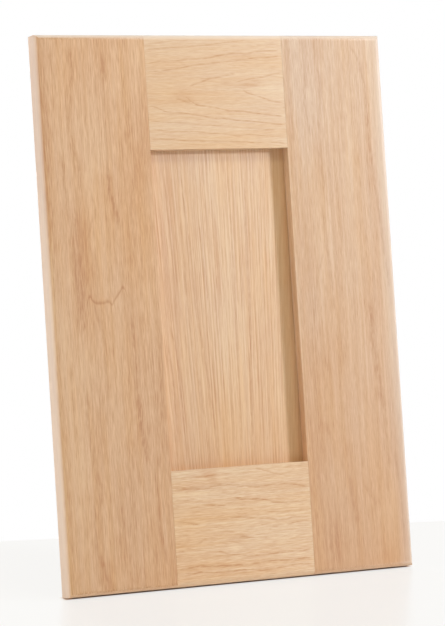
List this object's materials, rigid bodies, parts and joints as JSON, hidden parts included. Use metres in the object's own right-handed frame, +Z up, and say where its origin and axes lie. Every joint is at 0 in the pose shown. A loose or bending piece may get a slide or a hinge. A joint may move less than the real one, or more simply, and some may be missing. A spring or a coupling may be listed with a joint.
{
  "type": "kitchen cabinet door",
  "caption": "Flat frame-and-panel cabinet door in pale oak, with wide stiles and rails, a sunk veneered panel, a rounded front rim and blind hinge bores on the back.",
  "frame": {"origin": "middle of the door's bottom edge, halfway through its thickness", "axes": "+Z up the door, +X across the front from the hinge stile to the handle stile, +Y from the front face to the back"},
  "size_m": [0.397, 0.022, 0.57],
  "materials": {
    "left_stile_oak": "satin lacquer",
    "right_stile_oak": "satin lacquer",
    "top_rail_oak": "satin lacquer",
    "bottom_rail_oak": "satin lacquer",
    "panel_oak_veneer": "satin lacquer",
    "dowel_beech": "raw"
  },
  "bodies": {
    "root": {"left_stile": "left_stile_oak", "right_stile": "right_stile_oak", "top_rail": "top_rail_oak", "bottom_rail": "bottom_rail_oak", "centre_panel": "panel_oak_veneer", "dowel_top_left_outer": "dowel_beech", "dowel_top_left_inner": "dowel_beech", "dowel_top_right_outer": "dowel_beech", "dowel_top_right_inner": "dowel_beech", "dowel_bottom_left_outer": "dowel_beech", "dowel_bottom_left_inner": "dowel_beech", "dowel_bottom_right_outer": "dowel_beech", "dowel_bottom_right_inner": "dowel_beech"}
  },
  "joints": []
}
